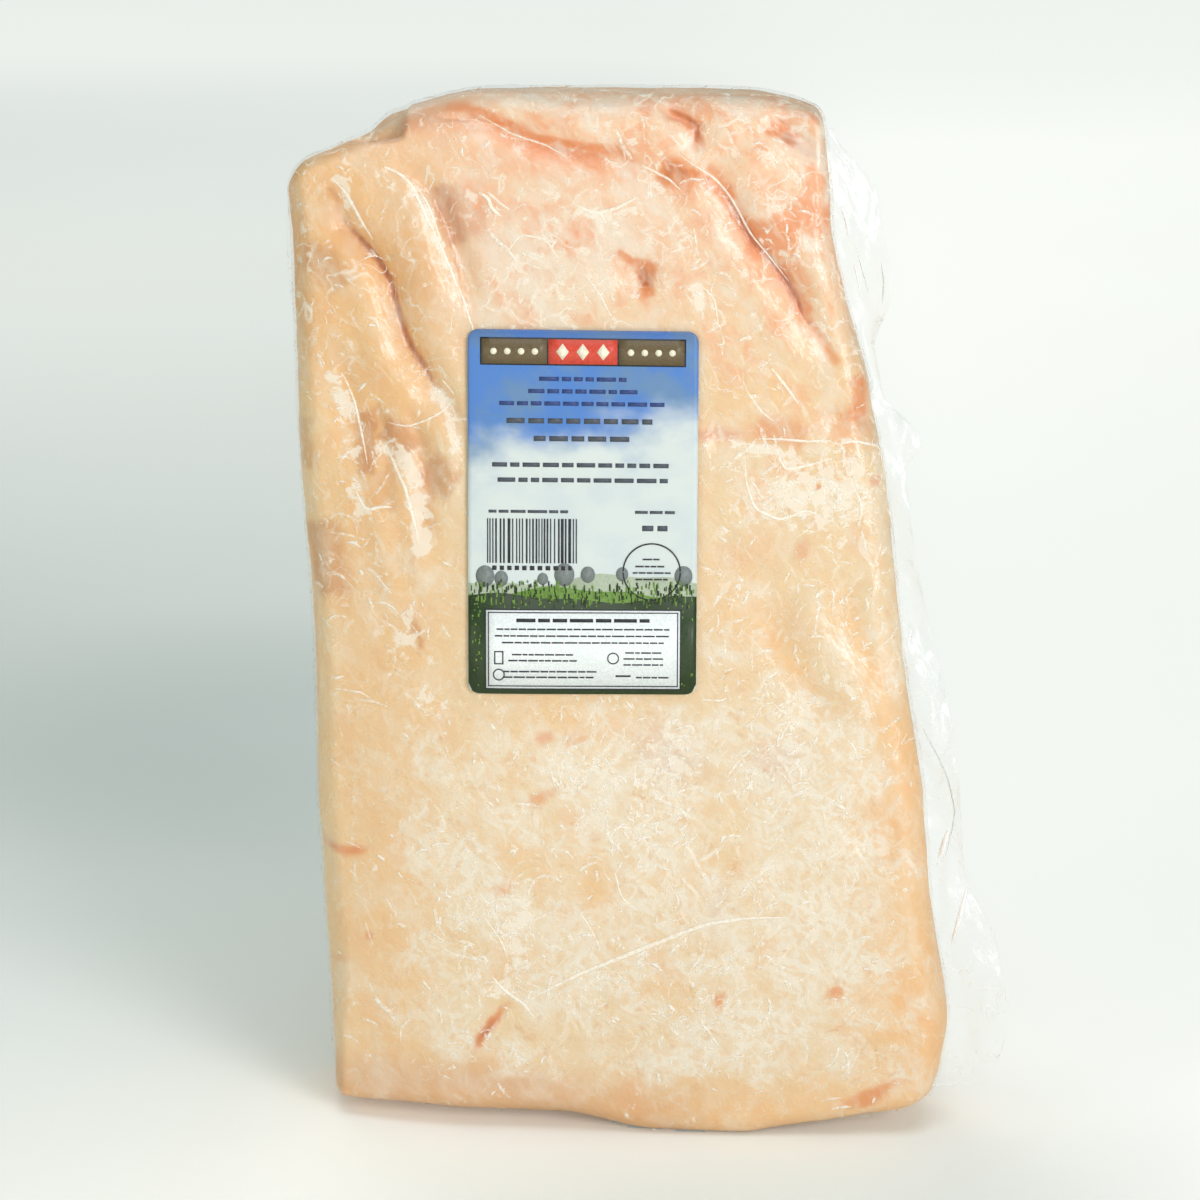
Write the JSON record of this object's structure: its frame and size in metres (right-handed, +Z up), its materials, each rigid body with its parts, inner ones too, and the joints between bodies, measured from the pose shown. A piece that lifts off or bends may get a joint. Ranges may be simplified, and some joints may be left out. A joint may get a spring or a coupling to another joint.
{
  "type": "pork belly slab",
  "caption": "Skin-on pork belly slab, frozen in a skin-tight clear vacuum bag with loose film margins and a paper label, standing on its short end.",
  "frame": {"origin": "on the floor under the middle of the whole pack's bounding box", "axes": "+Z up the slab's length, skin side with the label faces -Y, +X to the right as seen from the skin side"},
  "size_m": [0.208, 0.058, 0.294],
  "materials": {
    "vacuum_film": "clear glossy film drawn tight over cream and pink frozen pork",
    "pork": "frozen fat and skin, cream to pink, frosted in places",
    "label_paper": "coated paper, blue fading to white over a green band"
  },
  "bodies": {
    "root": {"vacuum_pack": "vacuum_film", "label": "label_paper"}
  },
  "joints": []
}
